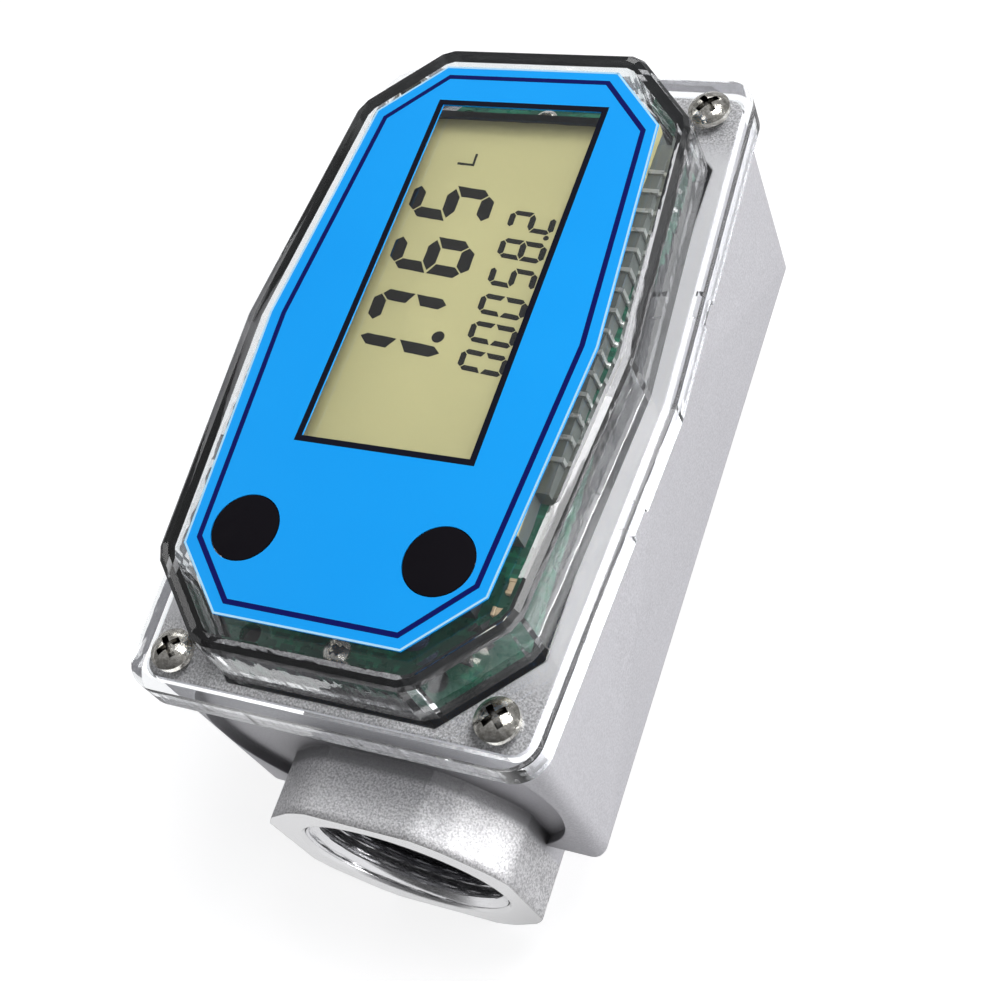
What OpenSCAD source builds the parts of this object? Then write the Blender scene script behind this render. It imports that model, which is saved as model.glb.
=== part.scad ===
/* [Flow tube and ports] */
// Width of each port's octagon across its flats
boss_flats = 41; // [40:0.5:43]
// Length that each corner of the octagon takes off a flat
boss_corner_cut = 9.9; // [8.5:0.1:11.5]
// How far each corner of the octagon is turned back below its sharp point
boss_corner_turn = 0.8; // [0.3:0.1:1.2]
// How far each port stands out of the housing's end
boss_reach = 9.4; // [8:0.2:12]
// Radius of the port bore, which is the outer radius of its thread
port_bore_r = 16.65; // [16:0.05:17]
// Depth of the port bore from its face
port_depth = 17; // [14:0.5:20]
// Width of the lead-in at the mouth of the port bore
port_lead_in = 0.6; // [0.3:0.05:1]
// Radius of the bore that takes the rotor supports
support_bore_r = 13.9; // [13.6:0.05:14.2]
// Radius of the bore that the rotor turns in
rotor_bore_r = 13.1; // [12.8:0.05:13.3]
// Wall of the flow tube round the support bore
tube_wall = 3.6; // [3.2:0.1:4]
// How much lower the ports reach than the tube between them
belly_gap = 0.4; // [0.3:0.1:1]

/* [Housing] */
// Length of the housing without its ports
body_len = 110; // [100:0.5:120]
// Width of the housing at its corners
body_w = 60.8; // [56:0.2:66]
// How far each long side of the housing's rim swells out at its middle
side_bow = 2.8; // [1.5:0.1:4]
// How far the housing's foot is set in from its corners
foot_inset = 0.1; // [0.1:0.1:1]
// Radius of the housing's upright corners
body_corner_r = 2.8; // [2.5:0.1:4.4]
// Radius along the housing's lower edges
foot_edge_r = 2; // [1:0.1:4]
// Height of the rim above the flow axis
rim_height = 39.8; // [38:0.2:43]
// How far the housing's foot lies below the flow axis
foot_drop = 1; // [0.4:0.1:3]
// Thickness of the housing's floor and side walls
body_wall = 3; // [2.6:0.1:3.2]
// Radius of the shallow scoop round each port
scoop_r = 28.2; // [26:0.1:28.6]
// Depth of the shallow scoop round each port
scoop_depth = 1.6; // [0.6:0.1:2]
// Height of the scoop's centre above the flow axis
scoop_rise = 19; // [17:0.2:21]
// Width of the ledge that carries the tray and the gasket
ledge_w = 4.6; // [4:0.1:5]
// Thickness of the rim that is left outside the gasket at each end
end_rim_t = 1.3; // [0.8:0.1:2]
// Distance from the dome's foot to the housing's side at its middle
side_margin = 1.6; // [1:0.1:3]
// How far the gasket shows outside the dome's foot at the ends
gasket_margin = 0.1; // [0:0.05:0.4]

/* [Clear cover] */
// Width that each slanted corner takes off the dome's end
dome_corner_w = 11.8; // [10.5:0.1:13]
// Length that each slanted corner takes off the dome's side
dome_corner_len = 12.1; // [10.5:0.1:13]
// How far each long side of the dome swells out at its middle
dome_bow = 3; // [1.8:0.1:3.4]
// Length that the easing of each upright corner takes off the dome's edges
dome_ease = 1.3; // [0.6:0.1:1.6]
// Thickness of the dome's side walls
dome_wall = 2.4; // [2:0.1:2.6]
// Thickness of the dome's top
dome_top_t = 2.4; // [2:0.1:2.6]
// Radius along the dome's upper edges
dome_edge_r = 2; // [0.6:0.1:2.2]
// How far the dome's walls lean out down to the flange
dome_lean = 0.3; // [0.2:0.1:0.5]
// Thickness of the cover's flange
flange_t = 2.8; // [2.2:0.1:3.4]
// How far the flange's skirt hangs over the housing's rim
skirt_drop = 2.8; // [1:0.1:4]
// Thickness of the skirt along the sides
skirt_side_t = 1.6; // [1.2:0.1:2.2]
// Thickness of the skirt across the ends
skirt_end_t = 2.3; // [1.5:0.1:3]
// Radius of the flange's upright corners
flange_corner_r = 5.2; // [4.6:0.1:6]
// Gap between the skirt and the housing
skirt_gap = 0.3; // [0.2:0.05:0.5]

/* [Face label and buttons] */
// Thickness of the face label
label_t = 0.3; // [0.2:0.05:0.5]
// Width of the clear margin between the label and the dome's edge
label_margin = 4.7; // [4.3:0.1:5]
// Place of the window's middle across the meter
window_x = 0.8; // [0:0.1:1.2]
// Distance from the middle of the buttons to the window
window_near_gap = 15.5; // [14:0.1:17]
// Distance from the window to the label's far edge
window_far_gap = 7.7; // [7:0.1:9]
// Distance from a button's middle to the dome's side
button_inset_x = 13.1; // [12.8:0.1:14.5]
// Distance from a button's middle to the dome's near end
button_inset_y = 18; // [17.5:0.1:19]
// Radius of a button
button_r = 5.1; // [4.6:0.1:5.3]
// Height of a button above the label
button_rise = 0.3; // [0.1:0.05:0.6]
// Radial gap between a button and its hole
button_gap = 0.15; // [0.1:0.01:0.25]
// Distance that a button can be pressed
button_travel = 0.6; // [0.4:0.05:0.7]

/* [Electronics] */
// Thickness of the circuit board
board_t = 1.6; // [1.2:0.1:1.8]
// Distance from the circuit board's edge to the edge of the gasket's seat
board_margin = 3.8; // [3.6:0.1:4.2]
// Height of the circuit board above the tray
board_lift = 2.6; // [2.2:0.1:2.8]
// Distance from the display glass to the dome's side at its slanted corners
glass_inset = 6.8; // [6.6:0.1:8.5]
// Width of the display that the label hides on each long side
side_bar = 8.15; // [7.6:0.05:9]
// Length of the display that the label hides at its near end
near_bar = 7; // [5:0.1:8]
// Length of the display that the label hides at its far end
far_bar = 2.3; // [1.8:0.1:2.5]
// Height of the display's holder
holder_h = 3.3; // [3:0.1:5]
// Thickness of the display glass
glass_t = 2.2; // [1.6:0.1:2.4]
// Thickness of the display's dark frame
frame_t = 0.5; // [0.3:0.1:0.6]
// Gap between the display's frame and the dome's top
glass_gap = 2.6; // [2.4:0.1:3]
// Number of pins along each side of the display
pin_count = 15; // [8:1:18]
// Width of the square switch under each button
switch_w = 6; // [5:0.2:6.2]
// Height of the switch's case
switch_h = 3.4; // [3:0.1:3.6]
// Radius of the switch's stem
stem_r = 1.75; // [1.4:0.05:2]

/* [Power and sensor] */
// Radius of a battery cell
cell_r = 5.25; // [5.2:0.05:5.3]
// Length of a battery cell without its raised pole
cell_len = 43.7; // [43:0.1:44]
// Length of the raised pole
cell_pole = 0.8; // [0.6:0.1:1]
// Distance between the two cells
cell_spacing = 28.5; // [27.6:0.1:29]
// Length of a contact spring
spring_len = 4.4; // [3:0.1:5]
// Thickness of the tray's walls
tray_wall = 1.3; // [1:0.1:1.6]
// Thickness of the tray's top plate
tray_plate_t = 1.2; // [1:0.1:1.6]
// Thickness of the gasket
gasket_t = 1.5; // [1.2:0.1:2]
// Width of the gasket
gasket_w = 3.2; // [2.8:0.1:3.6]
// Radius of the rotor pickup
pickup_r = 4; // [3:0.1:4.4]
// Depth of the pickup's seat in the flow tube
pickup_seat = 1.4; // [0.8:0.1:1.6]

/* [Turbine] */
// Number of rotor blades
blade_count = 6; // [4:1:7]
// Thickness of a rotor blade
blade_t = 1.1; // [0.8:0.1:1.6]
// Angle of the blades to the flow
blade_angle = 35; // [25:1:42]
// Gap between the blade tips and the bore
tip_gap = 0.5; // [0.4:0.05:0.8]
// Radius of the rotor's hub
hub_r = 4.6; // [4.2:0.1:5.4]
// Length of the rotor's hub
hub_len = 14; // [12:0.2:15]
// Radius of the rotor's shaft
shaft_r = 1; // [0.8:0.05:1.2]
// Radial gap between the shaft and its bushes
shaft_gap = 0.03; // [0.02:0.005:0.06]
// Gap between the rotor's hub and each support
thrust_gap = 0.4; // [0.3:0.05:0.6]
// Length of a support's ring
support_len = 10; // [8:0.2:12]
// Length of a support's rounded nose
nose_len = 8; // [6:0.2:10]
// Number of vanes in a support
vane_count = 4; // [3:1:5]
// Thickness of a support's vanes
vane_t = 1.3; // [1:0.1:1.6]
// Width of the retaining ring
snap_ring_t = 1; // [0.8:0.1:1.2]

/* [Fasteners] */
// Distance from a cover screw to the housing's side at its corners
screw_inset_x = 4.6; // [4.4:0.1:5]
// Distance from a cover screw to the housing's end
screw_inset_y = 3.6; // [3.5:0.1:4.2]
// Radius of a cover screw's shank
screw_r = 1.6; // [1.4:0.05:1.75]
// Radius of a cover screw's head
screw_head_r = 3.25; // [3:0.05:3.4]
// Height of a cover screw's head
screw_head_h = 2.2; // [1.8:0.1:2.5]
// Length of a cover screw's shank
screw_len = 12; // [9:0.5:14]
// Radius of a board screw's shank
board_screw_r = 1.1; // [0.9:0.05:1.2]
// Distance from a board screw to the dome's end
board_screw_inset = 6.5; // [6.1:0.1:7.3]

/* [Hidden] */
$fn = 64;
// Overrun of every cut past the face that it opens
over = 0.5;
// Gap of a part that is laid or pushed into its seat
seat_gap = 0.15;

// Widths and lengths that follow from the housing's
body_mid_w = body_w + 2 * side_bow;
body_foot_w = body_w - 2 * foot_inset;
dome_len = body_len - 2 * (end_rim_t + gasket_margin + dome_lean);
dome_mid_w = body_mid_w - 2 * (side_margin + dome_lean);
dome_side_w = dome_mid_w - 2 * dome_bow;
dome_side_len = dome_len - 2 * dome_corner_len;
dome_nose_w = dome_side_w - 2 * dome_corner_w;
screw_spacing_x = body_w - 2 * screw_inset_x;
screw_spacing_y = body_len - 2 * screw_inset_y;
board_screw_y = dome_len / 2 - board_screw_inset;

// Heights above the surface that the meter stands on
axis_z = boss_flats / 2;
foot_z = axis_z - foot_drop;
rim_z = axis_z + rim_height;
flange_z = rim_z + flange_t;
ledge_z = rim_z - gasket_t - tray_plate_t;
tray_top_z = ledge_z + tray_plate_t;
board_z = tray_top_z + board_lift;
board_top_z = board_z + board_t;
glass_z = board_top_z + holder_h;
glass_top_z = glass_z + glass_t;
frame_top_z = glass_top_z + frame_t;
dome_z = frame_top_z + glass_gap + dome_top_t;
face_z = dome_z + label_t;

// Places along the flow
housing_y = body_len / 2;
port_face_y = housing_y + boss_reach;
tube_r = support_bore_r + tube_wall;
belly_r = axis_z - belly_gap;
boss_root = 6;
port_end_y = port_face_y - port_depth;
hub_y = hub_len / 2;
support_y = hub_y + thrust_gap;
shoulder_y = support_y + seat_gap;
support_end_y = shoulder_y + support_len;
ring_y = support_end_y + seat_gap;
ring_reach = 0.9;
groove_r = support_bore_r + ring_reach;

// Outline with eight corners and sides that swell out, anticlockwise from its near right corner
function long_outline(mid_w) = let(x = dome_nose_w / 2, side_x = dome_side_w / 2,
    y = dome_len / 2, side_y = dome_side_len / 2)
    [[x, -y], [side_x, -side_y], [mid_w / 2, 0], [side_x, side_y], [x, y],
    [-x, y], [-side_x, side_y], [-mid_w / 2, 0], [-side_x, -side_y], [-x, -y]];

// The same outline with each sharp corner cut short by a length along both of its edges
function eased(points, cut) = let(n = len(points)) [for (i = [0 : n - 1])
    let(back = points[(i + n - 1) % n] - points[i], ahead = points[(i + 1) % n] - points[i],
        before = back / norm(back), after = ahead / norm(ahead))
    each (before * after < -0.9 ? [points[i]]
        : [points[i] + cut * before, points[i] + cut * after])];

// The same outline moved in by a distance, or out where the distance is negative
function outward(a, b) = [b.y - a.y, a.x - b.x] / norm(b - a);
function inset(points, d) = let(n = len(points)) [for (i = [0 : n - 1])
    let(before = outward(points[(i + n - 1) % n], points[i]),
        after = outward(points[i], points[(i + 1) % n]))
    points[i] - d * (before + after) / (1 + before * after)];
dome_points = eased(long_outline(dome_mid_w), dome_ease);
label_points = inset(long_outline(dome_mid_w), label_margin);

// The gasket's seat has straight sides
rim_points = inset(long_outline(dome_side_w), -dome_lean - gasket_margin);

// Buttons, window and display in their places under the label
button_x = dome_side_w / 2 - button_inset_x;
button_y = button_inset_y - dome_len / 2;
window_near_y = button_y + window_near_gap;
window_far_y = dome_len / 2 - label_margin - window_far_gap;
window_len = window_far_y - window_near_y;
window_y = (window_near_y + window_far_y) / 2;
glass_w = dome_side_w - 2 * glass_inset;
glass_len = window_len + near_bar + far_bar;
window_w = glass_w - 2 * side_bar;
display_y = window_far_y + far_bar - glass_len / 2;

// Cover
cover_w = body_w + 2 * (skirt_gap + skirt_side_t);
cover_mid_w = body_mid_w + 2 * (skirt_gap + skirt_side_t);
cover_len = body_len + 2 * (skirt_gap + skirt_end_t);
notch_w = 4.5;
notch_h = 1.2;
notch_share = 0.32;

// Display
frame_side = 2.6;
frame_far = 1.3;
frame_corner_r = 2;
holder_wall = 1.2;
rail_w = 2.2;
pin_pitch = window_len / (pin_count + 2);
pin_w = 0.7;
pin_t = 0.4;
pin_foot = 0.9;

// Buttons and switches
button_lip = 1.2;
button_lip_t = 0.8;
button_rest_gap = 0.1;
button_post_r = 2.4;
crown_edge_share = 0.93;
stem_seat = 1.6;
stem_rise = 1.5;
stem_gap = 0.05;
well_spare = 0.2;
switch_top_z = board_top_z + switch_h;
stem_top_z = switch_top_z + stem_rise;
lip_top_z = dome_z - dome_top_t - button_rest_gap;

// Small parts on the board
chip_w = 8;
chip_h = 1.4;
chip_lead = 1;
chip_lead_w = 0.4;
chip_lead_pitch = 1;
part_gap = 0.3;
crystal_len = 10;
crystal_w = 3.8;
crystal_h = 3.2;
crystal_y = button_y - chip_w / 2 - chip_lead - part_gap - crystal_w / 2;
capacitor_r = 2.1;
capacitor_h = 4.6;
capacitor_gap = 3.4;
locating_hole_r = 1.7;
locating_inset = 2.1;
locating_x = dome_nose_w / 2 - locating_inset;

// Battery tray
tray_lift = 1.2;
cell_z = axis_z + tube_r + tray_lift + tray_wall + seat_gap + cell_r;
tray_floor_z = cell_z - cell_r - seat_gap;
tray_half_w = cell_spacing / 2 + cell_r + seat_gap;
plate_t = 0.4;
tray_half_len = (2 * plate_t + spring_len + cell_len + cell_pole + 2 * seat_gap) / 2;
web_gap = 0.4;
standoff_r = 2.4;
plate_w = 7;
plate_rise = 5;
tab_w = 2;
cell_pole_r = 1.9;
spring_r = 3.2;
spring_tip_r = 2.2;
spring_wire = 0.6;

// Rotor pickup
pickup_top_z = cell_z + cell_r;
pickup_lead_r = 0.4;
pickup_lead_x = 1.5;
pickup_z = axis_z + tube_r - pickup_seat;

// Turbine
blade_tip_r = rotor_bore_r - tip_gap;
blade_chord_share = 0.72;
blade_chord = hub_len * blade_chord_share;
bush_r = 2.2;
bush_len = 3;
press_gap = 0.02;
shaft_seat = 5;
ring_wall = 1.4;
nose_steps = 8;
magnet_r = 0.9;
magnet_t = 1.6;
magnet_place_r = (bush_r + hub_r) / 2;
snap_ring_w = 2.2;
snap_ring_gap_angle = 44;
ear_r = 1.3;
ear_hole_r = 0.6;

// Screws
screw_gap = 0.05;
screw_hole_spare = 1.5;
head_edge_share = 0.4;
cross_len_share = 1.15;
cross_w = 0.95;
cross_depth = 1.2;
board_head_r = 2;
board_head_h = 1.3;

// Solids along the flow, starting at a distance from the meter's middle
module along_flow(start) {
    translate([0, start, axis_z]) rotate([-90, 0, 0]) children();
}

module both_ends() {
    children();
    mirror([0, 1, 0]) children();
}

module at_corners(spacing_x, spacing_y) {
    for (x = [-1, 1], y = [-1, 1]) translate([x * spacing_x / 2, y * spacing_y / 2]) children();
}

// A long outline whose sides widen to the middle, with rounded corners
module bowed_outline(w, mid_w, length, r) {
    corner_x = w / 2 - r;
    corner_y = length / 2 - r;
    right = [[corner_x, -length / 2], [w / 2, -corner_y], [mid_w / 2, 0], [w / 2, corner_y],
        [corner_x, length / 2]];
    left = [for (i = [len(right) - 1 : -1 : 0]) [-right[i].x, right[i].y]];
    polygon(concat(right, left));
    at_corners(2 * corner_x, 2 * corner_y) circle(r);
}

// What lies outside a wall that leans out to its foot and has a rounded upper edge
module edge_profile(rise, lean, r) {
    rounded = [for (turn = [0 : 30 : 90]) [r * sin(turn) - r, r * cos(turn) - r]];
    low = -rise - over;
    foot = lean * (low + r) / (r - rise);
    polygon(concat(rounded, [[foot, low], [lean + 2 * over, low], [lean + 2 * over, over],
        [-r, over]]));
}

// The same along every edge of an outline, at the height of its top
module edge_cuts(points, rise, lean, r) {
    n = len(points);
    for (i = [0 : n - 1]) {
        step = points[(i + 1) % n] - points[i];
        translate(points[i]) rotate([0, 0, atan2(step.y, step.x)])
            translate([norm(step) + r, 0, 0]) rotate([90, 0, -90])
            linear_extrude(norm(step) + 2 * r) edge_profile(rise, lean, r);
    }
}

module octagon(flats, cut) {
    half = flats / 2;
    short = half - cut;
    polygon([[half, -short], [half, short], [short, half], [-short, half], [-half, short],
        [-half, -short], [-short, -half], [short, -half]]);
}

module port_block() {
    sharp_r = norm([boss_flats / 2, boss_flats / 2 - boss_corner_cut]);
    along_flow(housing_y - boss_root) intersection() {
        linear_extrude(boss_root + boss_reach) octagon(boss_flats, boss_corner_cut);
        cylinder(h = boss_root + boss_reach, r = sharp_r - boss_corner_turn);
    }
}

// Housing seen along the flow, with sides that lean in to a rounded foot
module housing_section() {
    edge_x = body_foot_w / 2 - foot_edge_r;
    edge_z = foot_z + foot_edge_r;
    polygon([[-edge_x, foot_z], [edge_x, foot_z], [body_foot_w / 2, edge_z],
        [body_mid_w / 2, rim_z], [-body_mid_w / 2, rim_z], [-body_foot_w / 2, edge_z]]);
    for (side = [-1, 1]) translate([side * edge_x, edge_z]) circle(foot_edge_r);
}

module housing_block() {
    intersection() {
        translate([0, 0, foot_z]) linear_extrude(rim_z - foot_z)
            bowed_outline(body_w, body_mid_w, body_len, body_corner_r);
        rotate([90, 0, 0]) linear_extrude(body_len + 2 * over, center = true) housing_section();
    }
}

module scoop() {
    scoop_z = axis_z + scoop_rise;
    top_z = ledge_z - body_wall / 2;
    intersection() {
        translate([0, housing_y - scoop_depth, scoop_z]) rotate([-90, 0, 0])
            cylinder(h = scoop_depth + over, r = scoop_r);
        translate([-scoop_r, housing_y - scoop_depth, scoop_z - scoop_r])
            cube([2 * scoop_r, scoop_depth + over, top_z - scoop_z + scoop_r]);
    }
}

module housing_cavity() {
    floor_z = foot_z + body_wall;
    translate([0, 0, ledge_z]) linear_extrude(rim_z - ledge_z + over) polygon(rim_points);
    difference() {
        translate([0, 0, floor_z]) linear_extrude(ledge_z - floor_z + over)
            polygon(inset(rim_points, ledge_w));
        along_flow(-housing_y) cylinder(h = body_len, r = tube_r);
    }
}

module flow_bore() {
    along_flow(-shoulder_y - over) cylinder(h = 2 * (shoulder_y + over), r = rotor_bore_r);
    both_ends() {
        along_flow(shoulder_y) cylinder(h = port_end_y - shoulder_y + over, r = support_bore_r);
        along_flow(ring_y - seat_gap / 2) cylinder(h = snap_ring_t + seat_gap, r = groove_r);
        along_flow(port_end_y) cylinder(h = port_depth + over, r = port_bore_r);
        along_flow(port_face_y - port_lead_in) cylinder(h = port_lead_in + over,
            r1 = port_bore_r, r2 = port_bore_r + port_lead_in + over);
    }
}

module cover_screw_hole() {
    depth = screw_len - flange_t + screw_hole_spare;
    translate([0, 0, rim_z - depth]) cylinder(h = depth + over, r = screw_r + screw_gap);
}

module meter_body() {
    color("gainsboro") difference() {
        union() {
            difference() {
                housing_block();
                both_ends() scoop();
                housing_cavity();
            }
            along_flow(-housing_y + scoop_depth)
                cylinder(h = body_len - 2 * scoop_depth, r = tube_r);
            intersection() {
                along_flow(-housing_y + scoop_depth)
                    cylinder(h = body_len - 2 * scoop_depth, r = belly_r);
                translate([-belly_r, -housing_y, 0])
                    cube([2 * belly_r, body_len, foot_z + body_wall]);
            }
            both_ends() port_block();
        }
        flow_bore();
        at_corners(screw_spacing_x, screw_spacing_y) cover_screw_hole();
        translate([0, 0, pickup_z]) cylinder(h = tube_wall, r = pickup_r + seat_gap);
    }
}

module cover_outline() {
    bowed_outline(cover_w, cover_mid_w, cover_len, flange_corner_r);
}

module skirt() {
    skirt_z = rim_z - skirt_drop;
    difference() {
        translate([0, 0, skirt_z]) linear_extrude(skirt_drop + flange_t / 2) cover_outline();
        translate([0, 0, skirt_z - over]) linear_extrude(skirt_drop + over)
            bowed_outline(body_w + 2 * skirt_gap, body_mid_w + 2 * skirt_gap,
                body_len + 2 * skirt_gap, body_corner_r);
        for (y = [-1, 1]) translate([-cover_mid_w / 2 - over,
            y * body_len / 2 * notch_share - notch_w / 2, skirt_z - over])
            cube([cover_mid_w + 2 * over, notch_w, notch_h + over]);
    }
}

module dome() {
    difference() {
        translate([0, 0, rim_z]) linear_extrude(dome_z - rim_z)
            polygon(inset(dome_points, -dome_lean - over));
        translate([0, 0, dome_z])
            edge_cuts(dome_points, dome_z - flange_z, dome_lean, dome_edge_r);
    }
}

module clear_cover() {
    color([0.85, 0.92, 0.95, 0.35]) difference() {
        union() {
            translate([0, 0, rim_z]) linear_extrude(flange_t) cover_outline();
            skirt();
            dome();
        }
        translate([0, 0, rim_z - over]) linear_extrude(dome_z - dome_top_t - rim_z + over)
            polygon(inset(dome_points, dome_wall));
        translate([0, 0, rim_z - over]) at_corners(screw_spacing_x, screw_spacing_y)
            cylinder(h = flange_t + 2 * over, r = screw_r + 2 * seat_gap);
        for (side = [-1, 1]) translate([side * button_x, button_y, dome_z - dome_top_t - over])
            cylinder(h = dome_top_t + 2 * over, r = button_r + button_gap);
    }
}

module cover_gasket() {
    color("#17181a") translate([0, 0, tray_top_z]) linear_extrude(rim_z - tray_top_z)
        difference() {
            polygon(inset(rim_points, seat_gap));
            polygon(inset(rim_points, gasket_w + seat_gap));
        }
}

module pan_head(r, h, edge_share) {
    crown = h * (1 - edge_share);
    ball_r = (r * r + crown * crown) / (2 * crown);
    intersection() {
        cylinder(h = h, r = r);
        translate([0, 0, h - ball_r]) sphere(ball_r);
    }
}

module cross_slot(r, z, depth) {
    for (turn = [0, 90]) rotate([0, 0, turn + 45])
        translate([-r * cross_len_share / 2, -cross_w / 2, z - depth])
        cube([r * cross_len_share, cross_w, depth + over]);
}

module cover_screws() {
    color("silver") at_corners(screw_spacing_x, screw_spacing_y) difference() {
        union() {
            translate([0, 0, flange_z]) pan_head(screw_head_r, screw_head_h, head_edge_share);
            translate([0, 0, flange_z - screw_len]) cylinder(h = screw_len, r = screw_r);
        }
        cross_slot(screw_head_r, flange_z + screw_head_h, cross_depth);
    }
}

module face_label() {
    color("dodgerblue") translate([0, 0, dome_z]) linear_extrude(label_t) difference() {
        polygon(label_points);
        translate([window_x, window_y]) square([window_w, window_len], center = true);
        for (side = [-1, 1]) translate([side * button_x, button_y])
            circle(button_r + button_gap);
    }
}

module push_button(side) {
    top_z = face_z + button_rise;
    color("#101114") translate([side * button_x, button_y]) {
        translate([0, 0, stem_top_z]) cylinder(h = lip_top_z - stem_top_z, r = button_post_r);
        translate([0, 0, lip_top_z - button_lip_t])
            cylinder(h = button_lip_t, r = button_r + button_lip);
        translate([0, 0, lip_top_z - button_lip_t])
            pan_head(button_r, top_z - lip_top_z + button_lip_t, crown_edge_share);
    }
}

module calibrate_button() {
    push_button(-1);
}

module display_button() {
    push_button(1);
}

module display_glass() {
    color("#c2bd8d") translate([-glass_w / 2, display_y - glass_len / 2, glass_z])
        cube([glass_w, glass_len, glass_t]);
}

module rounded_box(w, length, r) {
    square([w, length - 2 * r], center = true);
    square([w - 2 * r, length], center = true);
    at_corners(w - 2 * r, length - 2 * r) circle(r);
}

module display_frame() {
    open_len = glass_len - frame_far - frame_side;
    color("#141517") translate([0, display_y, glass_top_z]) linear_extrude(frame_t)
        difference() {
            square([glass_w, glass_len], center = true);
            translate([0, (frame_side - frame_far) / 2])
                rounded_box(glass_w - 2 * frame_side, open_len, frame_corner_r);
        }
}

module display_holder() {
    height = glass_z - board_top_z;
    color("whitesmoke") translate([0, display_y, board_top_z]) difference() {
        union() {
            translate([-glass_w / 2, -glass_len / 2, 0]) cube([glass_w, glass_len, height]);
            translate([-glass_w / 2 - rail_w, window_y - display_y - window_len / 2, 0])
                cube([glass_w + 2 * rail_w, window_len, height]);
        }
        translate([-glass_w / 2 + holder_wall, -glass_len / 2 + holder_wall, -over])
            cube([glass_w - 2 * holder_wall, glass_len - 2 * holder_wall,
                height - holder_wall + over]);
    }
}

module display_pins() {
    inner_x = glass_w / 2 + rail_w + seat_gap;
    rise = glass_z + pin_t - board_top_z;
    color("silver") for (side = [0, 1], i = [0 : pin_count - 1]) mirror([side, 0, 0])
        translate([inner_x, window_y + (i - (pin_count - 1) / 2) * pin_pitch, board_top_z]) {
            translate([0, -pin_w / 2, 0]) cube([pin_t, pin_w, rise]);
            translate([0, -pin_w / 2, 0]) cube([pin_foot, pin_w, pin_t]);
            translate([-rail_w, -pin_w / 2, rise - pin_t]) cube([rail_w + pin_t, pin_w, pin_t]);
        }
}

module circuit_board() {
    board_points = inset(rim_points, board_margin);
    color("#0f6b45") translate([0, 0, board_z]) linear_extrude(board_t) difference() {
        polygon(board_points);
        for (y = [-1, 1]) translate([0, y * board_screw_y]) circle(board_screw_r + screw_gap);
        for (x = [-1, 1], y = [-1, 1]) translate([x * locating_x, y * board_screw_y])
            circle(locating_hole_r);
    }
}

module board_screws() {
    color("silver") for (y = [-1, 1]) translate([0, y * board_screw_y]) difference() {
        union() {
            translate([0, 0, board_top_z]) pan_head(board_head_r, board_head_h, head_edge_share);
            translate([0, 0, tray_top_z]) cylinder(h = board_top_z - tray_top_z,
                r = board_screw_r);
        }
        cross_slot(board_head_r, board_top_z + board_head_h, board_head_h / 2);
    }
}

module switch_cases() {
    color("#26282b") for (side = [-1, 1]) translate([side * button_x, button_y]) difference() {
        translate([-switch_w / 2, -switch_w / 2, board_top_z]) cube([switch_w, switch_w, switch_h]);
        translate([0, 0, switch_top_z - stem_seat - button_travel - well_spare])
            cylinder(h = switch_h, r = stem_r + stem_gap);
    }
}

module switch_stem(side) {
    color("#e8e4d8") translate([side * button_x, button_y, switch_top_z - stem_seat])
        cylinder(h = stem_seat + stem_rise, r = stem_r);
}

module calibrate_stem() {
    switch_stem(-1);
}

module display_stem() {
    switch_stem(1);
}

module controller_chip() {
    lead_count = floor((chip_w - chip_lead_pitch) / chip_lead_pitch);
    color("#1b1c1e") translate([0, button_y, board_top_z]) {
        translate([-chip_w / 2, -chip_w / 2, 0]) cube([chip_w, chip_w, chip_h]);
        for (turn = [0, 90], i = [0 : lead_count - 1]) rotate([0, 0, turn])
            translate([(i - (lead_count - 1) / 2) * chip_lead_pitch - chip_lead_w / 2,
                -chip_w / 2 - chip_lead, 0])
            cube([chip_lead_w, chip_w + 2 * chip_lead, chip_lead_w]);
    }
}

module crystal_can() {
    color("silver") translate([0, crystal_y, board_top_z]) linear_extrude(crystal_h)
        rounded_box(crystal_len, crystal_w, crystal_w / 2 - seat_gap);
}

module board_capacitors() {
    color("#2b2f36") for (side = [-1, 1])
        translate([side * (crystal_len / 2 + capacitor_gap + capacitor_r), crystal_y, board_top_z])
        cylinder(h = capacitor_h, r = capacitor_r);
}

module cell_places() {
    for (side = [-1, 1]) translate([side * cell_spacing / 2, 0, cell_z])
        rotate([-90 * side, 0, 0]) translate([0, 0, -tray_half_len]) children();
}

module battery_tray() {
    outer_w = tray_half_w + tray_wall;
    outer_len = tray_half_len + tray_wall;
    box_z = tray_floor_z - tray_wall;
    web_x = cell_spacing / 2 - cell_r - web_gap;
    color("#1d1e21") difference() {
        union() {
            translate([0, 0, ledge_z]) linear_extrude(tray_plate_t)
                polygon(inset(rim_points, seat_gap));
            translate([-outer_w, -outer_len, box_z])
                cube([2 * outer_w, 2 * outer_len, tray_top_z - box_z]);
            for (y = [-1, 1]) translate([0, y * board_screw_y, ledge_z])
                cylinder(h = board_z - ledge_z, r = standoff_r);
        }
        difference() {
            translate([-tray_half_w, -tray_half_len, tray_floor_z])
                cube([2 * tray_half_w, 2 * tray_half_len, tray_top_z - tray_floor_z + over]);
            for (side = [-1, 1]) translate([side * (web_x - tray_wall / 2) - tray_wall / 2,
                -tray_half_len - over, tray_floor_z - over])
                cube([tray_wall, 2 * (tray_half_len + over), cell_r + over]);
        }
        translate([0, 0, box_z - over]) cylinder(h = tray_wall + 2 * over,
            r = pickup_r + web_gap);
        for (y = [-1, 1]) translate([0, y * board_screw_y, tray_top_z])
            cylinder(h = board_lift + over, r = board_screw_r + screw_gap);
    }
}

module battery_cells() {
    color("#c9a227") cell_places() translate([0, 0, plate_t + spring_len + seat_gap]) {
        cylinder(h = cell_len, r = cell_r);
        cylinder(h = cell_len + cell_pole, r = cell_pole_r);
    }
}

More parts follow.
